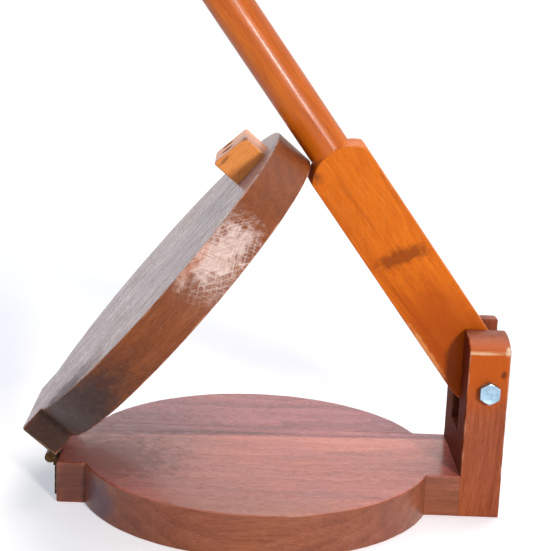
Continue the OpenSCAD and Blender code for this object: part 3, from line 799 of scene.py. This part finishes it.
for node, side, seed in (("post_front_cheek", -1, 31), ("post_back_cheek", 1, 32)):
    outline = fillet(cheek, cheek_radii)
    if side < 0:
        outline = (outline * (-1, 1))[::-1]
    outline = dense(outline, STEP)
    mid = (outline + np.roll(outline, -1, 0)) / 2
    ease = np.clip(1.1 * waver(outline, 0.35, seed), 0.3, 2.0)
    glued = (mid[:, 1] < BASE_T + 1.5) | ((np.abs(mid[:, 0]) < SLOT_W / 2 + 0.3) & (mid[:, 1] < CORE_H))
    ease[glued] = 0.12
    points, faces, edge = board(outline, ease, POST_X, POST_X + POST_T, np.array((side * 28.0, 55.0)),
                                [np.array((side * 42.0, POST_H - CHEEK_DROP))])
    # The cheek's sides take the darker copy, painted shade; its front, back, top and slot faces take the post's own
    # wood
    made = piece(node + "_wood", upright(points), faces, painted_shade_post_side_wood, "base", [node], edge,
                 others=[(post_wood, (1, 0, 0), -0.6, 0.6)])
    drill(made, [BOLT_HOLE, post_screw(side * POST_SCREW_Y)])

half = SLOT_W / 2
core = dense(fillet([(-half, 0), (half, 0), (half, CORE_H), (-half, CORE_H)], [0.2] * 4), STEP)
points, faces, edge = board(core, np.full(len(core), 0.15), POST_X, POST_X + POST_T, np.array((0.0, 25.0)))
# The core takes the darker copy all over, painted shade
made = piece("post_core_wood", upright(points), faces, painted_shade_post_side_wood, "base", ["post_core"], edge)
drill(made, [post_screw(0)])

# %% [markdown]
# ## The lever
# The lever was turned from a plank: flat up to the shoulder, then a round handle on which the plank's flat sides
# run out. So each section is a rectangle cut down by a circle. Below the pivot the section is swung round, which
# makes the heel a half round.

# %% Sections of the lever
HALF_W, HALF_T, HEEL = 21.35, 13.7, 5.5
SHOULDER_L, SHOULDER_R, WIDE_R = 11.6, 28.0, 25.87
FACET_START, FACET_L, REACH, END_BEVEL = ROD_ROOT + 4.4, 45.0, 380.0, 2.5
FLAT_N, CORNER_N, SIDE_N = 14, 4, 14

# The shoulder's arc, from the plank's widest circle to the handle
start, end = np.array((WIDE_R, ROD_ROOT - SHOULDER_L)), np.array((ROD_R, ROD_ROOT))
chord = np.hypot(*(end - start))
arc_centre = (start + end) / 2 + np.array((start[1] - end[1], end[0] - start[0])) / chord * sqrt(
    SHOULDER_R**2 - chord**2 / 4)


def turned_radius(z):
    """The lathe's radius at height z: wide on the plank, an arc on the shoulder, then the handle's."""
    arc = arc_centre[0] + np.sqrt(np.maximum(SHOULDER_R**2 - (z - arc_centre[1]) ** 2, 0))
    return np.where(z < ROD_ROOT - SHOULDER_L, WIDE_R, np.where(z < ROD_ROOT, np.maximum(arc, ROD_R), ROD_R))


def quarter_section(radius, ease):
    """A quarter of a section, from the middle of the flat to the middle of the side: the flat, a rounded corner, and
    the side, which is straight or follows the lathe's circle."""
    a = min(HALF_W, sqrt(max(radius**2 - HALF_T**2, 0)))
    e = min(ease, 0.6 * a)
    flat = np.linspace(0, a - e, FLAT_N + 1)
    y = np.linspace(HALF_T - e, 0, SIDE_N + 1)
    side = np.minimum(HALF_W, np.sqrt(np.maximum(radius**2 - y**2, 0)))
    t = np.linspace(0, 1, CORNER_N + 1)[1:-1, None]
    p0, p1, p2 = np.array((a - e, HALF_T)), np.array((a, HALF_T)), np.array((side[0], y[0]))
    corner = (1 - t) ** 2 * p0 + 2 * t * (1 - t) * p1 + t**2 * p2
    return np.concatenate((np.c_[flat, np.full_like(flat, HALF_T)], corner, np.c_[side, y])), a


def section(radius, ease=1.0):
    """The whole section, round from the middle of the back flat through left, front and right."""
    q, a = quarter_section(radius, ease)
    rest = q[1:-1]
    return np.concatenate((q * (-1, 1), (rest * (-1, -1))[::-1], q[:1] * (1, -1), rest * (1, -1), q[-1:],
                           rest[::-1])), a


print("a section of the plank has", len(section(WIDE_R)[0]), "points")

# %% Plank and handle
rows, edges = [], []


def lay(places, z, edge):
    """Adds a row to the lever at height z, with its distance from the worn edges."""
    rows.append(np.c_[places, z + 0 * places[:, 0]])
    edges.append(edge + 0 * places[:, 0])


for swing in np.linspace(pi / 2, 0, 22)[:-1]:
    s, a = section(WIDE_R)
    lay(s * (cos(swing), 1), HEEL - np.abs(s[:, 0]) * sin(swing), np.hypot(*(np.abs(s) - (a, HALF_T)).T))
shoulder_z = ROD_ROOT - SHOULDER_L
bends = np.linspace(0, 1, 13)
heights = np.concatenate((np.linspace(HEEL, shoulder_z - 2, 60), [shoulder_z - 1, shoulder_z], shoulder_z
                          + SHOULDER_L * bends[1:]))
for z in heights:
    s, a = section(float(turned_radius(np.array(z))), 1.0 if z < shoulder_z else 0.8)
    lip = abs(z - shoulder_z) if z < shoulder_z + 3 else 9.0
    lay(s, z, np.minimum(np.hypot(*(np.abs(s) - (a, HALF_T)).T), 1.5 + lip))

# The handle: the same points, spread evenly round it over its first stretch
SPREAD_MM = 60
start_angle = np.unwrap(np.arctan2(rows[-1][:, 0], rows[-1][:, 1]))
even_angle = start_angle[0] + np.arange(len(start_angle)) * (-2 * pi / len(start_angle)) * np.sign(
    start_angle[0] - start_angle[1])
for z in np.concatenate((ROD_ROOT + np.array((0.4, 1.2, 2.5, 4.4)),
                         np.linspace(FACET_START + 3, REACH - END_BEVEL, 60))):
    share = min(1.0, (z - ROD_ROOT) / SPREAD_MM)
    angle = start_angle * (1 - share) + even_angle * share
    half_t = HALF_T + (ROD_R - HALF_T) * min(1.0, max(0.0, (z - FACET_START) / FACET_L))
    r = np.minimum(ROD_R, half_t / np.maximum(np.abs(np.cos(angle)), 0.05))
    lay(np.c_[r * np.sin(angle), r * np.cos(angle)], z, 9.0)
for share in np.linspace(0, 1, 5)[1:]:
    r = ROD_R - END_BEVEL * share
    lay(np.c_[r * np.sin(angle), r * np.cos(angle)], REACH - END_BEVEL * (1 - share), 0.6)
for share in (0.7, 0.35):
    lay(rows[-1][:, :2] * share, REACH, 4.0)
print("the lever is a stack of", len(rows), "sections")

# %% The lever in place
def lean_lever(points):
    """Points (width, thickness, along) laid from the pivot along the leaning lever."""
    width, y, along = points.T
    c, s = cos(LEAN), sin(LEAN)
    return np.stack((PIVOT[0] + c * along + s * width, y, PIVOT[1] + s * along - c * width), 1)


count = len(start_angle)
points = np.concatenate([*rows, [(0, 0, REACH)]])
edge = np.concatenate([*edges, [9.0]])
faces = [ring_faces(len(rows), count), fan_faces(len(points) - 1, (len(rows) - 1) * count, count, True)]
lever = piece("lever_turned_plank", lean_lever(points), faces, lever_wood, "lever",
              ["lever_plank", "lever_handle"], edge, merge=True)
lever.data.materials.append(handle_wood)
up_lever = np.array((cos(LEAN), 0, sin(LEAN)))
along = (face_values(lever.data, "center") / MM - (PIVOT[0], 0, PIVOT[1])) @ up_lever
lever.data.polygons.foreach_set("material_index", (along > ROD_ROOT).astype(np.int32))
drill(lever, [BOLT_HOLE])

# %% [markdown]
# ## The pressure block
# A wedge is screwed to the lid where the lever bears on it. It is an outline seen from the front, carried across
# the lid, with rounded top edges and two deep counterbores.

# %% Pressure block
BLOCK_X, BLOCK_L, BLOCK_H = 79.5, 26.5, (20.7, 16.5)
BLOCK_Y, BLOCK_W, SINK = 2.5, 45.0, 6.0
SCREW_X, SCREW_Y = 90.5, (-5.5, 15.5)
top_left = (BLOCK_X, LID_HIGH + BLOCK_H[0])
top_right = (BLOCK_X + BLOCK_L, LID_HIGH + BLOCK_H[1])
outline = fillet([(BLOCK_X, LID_HIGH), (BLOCK_X + BLOCK_L, LID_HIGH), top_right, top_left], [0, 0, 1.8, 1.8])
outline = dense(outline, STEP / 2)
ease = np.clip(1.1 * waver(outline, 0.25, 41), 0.5, 1.5)
ease[(outline + np.roll(outline, -1, 0))[:, 1] / 2 < LID_HIGH + 0.4] = 0.12
points, faces, edge = board(outline, ease, -BLOCK_Y - BLOCK_W / 2, -BLOCK_Y + BLOCK_W / 2,
                            np.array((BLOCK_X + BLOCK_L / 2, LID_HIGH + 9)), [np.array(top_left), np.array(top_right)])
block = piece("pressure_block_wedge", open_lid(points[:, [0, 2, 1]] * (1, -1, 1)), faces, block_wood, "lid",
              ["pressure_block"], edge)
floor_z = LID_HIGH + (BLOCK_H[0] + BLOCK_H[1]) / 2 - SINK
well = [(0, -31), (2.15, -31), (2.15, -1.7), (3.83, 0.0), (4.8, 0.02), (4.8, 20), (0, 20)]
wells = [hole(well, (SCREW_X, y, floor_z), (0, 0, 1)) for y in SCREW_Y]
drill(block, [(open_lid(points), faces) for points, faces in wells])

# %% [markdown]
# ## The pivot bolt, its washer and its nut
# A header leaves a flat cone on the corners of a six-sided head, which shows as six shallow arches. So each row of
# the head is the smaller of the six-sided outline and the cone. The thread is a saw-tooth that climbs one pitch in
# one turn.

# %% Six-sided sections
FLATS, HEAD_H, NUT_H, WASHER_D, WASHER_T, TAIL = 12.7, 5.3, 6.8, 17.5, 1.6, 2.5
BOLT_R, PITCH_MM, THREAD_DEPTH, CONE_RISE, ROUND = 3.95, 1.4, 0.4, 3, 96
round_angle = np.arange(ROUND) * 2 * pi / ROUND


def six_sided(limit, phase):
    """Radius of a hexagon across FLATS at each point of a row, with its corners cut to limit."""
    from_flat = (round_angle - phase) % (pi / 3) - pi / 6
    return np.minimum(FLATS / 2 / np.cos(from_flat), limit)


def coned(depth):
    """The radius that the cone allows at this depth below a hexagon's face."""
    return FLATS / 2 + CONE_RISE * depth


def from_front(points, y):
    """Points about z laid so that z runs forwards out of the face at y."""
    return np.c_[PIVOT[0] + points[:, 0], y - points[:, 2], PIVOT[1] + points[:, 1]]


def rows_of(pairs):
    """A row of points for each (radius, height)."""
    return [circle_row(r, z, ROUND) for r, z in pairs]


print("the hexagon is", round(FLATS / cos(pi / 6), 2), "mm across its corners")

# %% Bolt
depths = np.array((0.0, 0.04, 0.09, 0.15, 0.22, 0.3, 0.4))
shank_l = POST_W + WASHER_T + NUT_H + TAIL
rows = rows_of([(2.6, -shank_l)])
for z in np.arange(0, 13.4, PITCH_MM / 8):
    climb = (z / PITCH_MM + round_angle / (2 * pi)) % 1
    fade = min(1.0, z / 1.2)
    thread = BOLT_R - 0.45 + THREAD_DEPTH * fade * (1 - np.abs(2 * climb - 1))
    rows += rows_of([(thread, -shank_l + 0.3 + z)])
rows += rows_of((BOLT_R, z) for z in (-shank_l + 14.6, -60, -30, -0.01))
corner_up = pi / 2
rows += rows_of((six_sided(99.0, corner_up) * k, z) for k, z in ((0.7, 0.0), (0.97, 0.0), (1.0, 0.25)))
rows += rows_of((six_sided(coned(d), corner_up), HEAD_H - d) for d in (2.5, *depths[::-1]))
rows += rows_of((r, HEAD_H - dip) for r, dip in ((5.9, 0.0), (5.5, 0.12), (3.0, 0.2)))
points, faces = stack(rows, [(0, 0, -shank_l), (0, 0, HEAD_H - 0.2)])
piece("pivot_bolt_threaded", from_front(points, -POST_W / 2), faces, zinc, "base", ["pivot_bolt"])

# %% Washer and nut
washer_y = POST_W / 2
rows = rows_of(((BOLT_R + 0.15, 0.0), (WASHER_D / 2 - 0.3, 0.0), (WASHER_D / 2, 0.3),
                (WASHER_D / 2, WASHER_T - 0.4), (WASHER_D / 2 - 0.4, WASHER_T),
                (BOLT_R + 0.4, WASHER_T), (BOLT_R + 0.15, WASHER_T - 0.2)))
points, faces = stack(rows)
piece("pivot_washer", from_front(points * (1, -1, -1), washer_y), faces, zinc, "base", ["nut_washer"])

nut_turn = corner_up + radians(12)
rows = rows_of(((BOLT_R + 0.1, 0.4), (BOLT_R + 0.6, 0.0)))
rows += rows_of((six_sided(coned(d), nut_turn), d) for d in (0.0, 0.1, 0.25, 0.45))
rows += rows_of((six_sided(coned(d), nut_turn), NUT_H - d) for d in (2.5, *depths[::-1]))
rows += rows_of(((BOLT_R + 0.7, NUT_H), (BOLT_R + 0.1, NUT_H - 0.5)))
points, faces = stack(rows)
piece("pivot_nut_six_sided", from_front(points * (1, -1, -1), washer_y + WASHER_T), faces, zinc, "base",
      ["pivot_nut"])

# %% [markdown]
# ## Floor and world
# The press stands on white paper in a white room. Camera, mirrors and glass see both white, while the light of the
# room is plain and a little blue. Paper far from the lamps would look grey, so it has a lift for those same rays, and
# close to the press the lift is raised further, a painted light on the paper.

# %% Floor
def background_ray(put):
    """1 for camera, glossy and transmission rays, which show a background, else 0."""
    ray = put("LightPath", out="Is Camera Ray")
    for other in ("Is Glossy Ray", "Is Transmission Ray"):
        ray = put("Math", (ray, put("LightPath", out=other)), operation="MAXIMUM")
    return ray


FLOOR_M, LIFT_REACH_M = 60, 5.0
# Metres from the press, and the lift there; within about 0.2 m it is higher, a painted light that washes out the
# press's shadow on the paper beside it
PAPER_LIFT = ((0.15, (0.38, 0.41, 0.46)), (4.4, (0.76, 0.75, 0.75)), (0.3, (0.17, 0.2, 0.31)),
              (0.5, (0.16, 0.2, 0.3)), (0.85, (0.28, 0.31, 0.37)), (1.25, (0.38, 0.4, 0.43)),
              (2.5, (0.65, 0.65, 0.66)))
corners = np.array([(-1, -1, 0), (1, -1, 0), (1, 1, 0), (-1, 1, 0)]) * FLOOR_M / MM
floor = new_object("floor", corners, [np.array([(0, 1, 2, 3)])])
# White paper: bright and without shine, so that only the soft shadows show where it lies
paper = bpy.data.materials.new("white_paper")
put = emptied(paper)
away = put("VectorMath", (put("TexCoord", out="Object"),), operation="LENGTH", out="Value")
share = put("MapRange", (away, 0, LIFT_REACH_M))
lift = put("ValToRGB", {"Fac": share}, [(d / LIFT_REACH_M, (*level, 1)) for d, level in PAPER_LIFT])
glow = put("Emission", {"Color": lift, "Strength": background_ray(put)})
sheet = put("BsdfDiffuse", {"Color": (0.88, 0.84, 0.77, 1)})
put("OutputMaterial", {"Surface": put("AddShader", (glow, sheet))})
floor.data.materials.append(paper)
print("paper reaches", FLOOR_M, "m each way")

# %% World
ROOM_LIGHT = 0.36
world = bpy.data.worlds.new("light_tent")
bpy.context.scene.world = world
put = emptied(world)
room = put("Background", {"Color": (0.84, 0.9, 1.0, 1), "Strength": ROOM_LIGHT})
white = put("Background", {"Color": (1, 1, 1, 1), "Strength": 1.0})
put("OutputWorld", {"Surface": put("MixShader", (background_ray(put), room, white))})
print("the room lights the press at", ROOM_LIGHT, "of white")

# %% [markdown]
# ## Lamps
# A small lamp in front and to the right throws soft shadows and lights the varnish. A large one above fills in.

# %% Lamps
def lamp(name, place, target, size, watts, colour):
    """A square soft lamp at place, turned to face target, in metres."""
    light = bpy.data.lights.new(name, "AREA")
    light.size, light.energy, light.color = size, watts, colour
    made = bpy.data.objects.new(name, light)
    made.location = place
    made.rotation_euler = (Vector(target) - Vector(place)).to_track_quat("-Z", "Y").to_euler()
    bpy.context.scene.collection.objects.link(made)
    print(name, "gives", watts, "watts")


lamp("key_lamp", (0.87, -1.86, 0.75), (0.0, 0.0, 0.12), 0.25, 30.0, (1.0, 0.96, 0.91))
lamp("top_lamp", (0.35, 0.7, 1.9), (0.0, 0.0, 0.15), 1.4, 27.0, (1.0, 0.98, 0.97))
bpy.context.scene.view_settings.view_transform = "Standard"
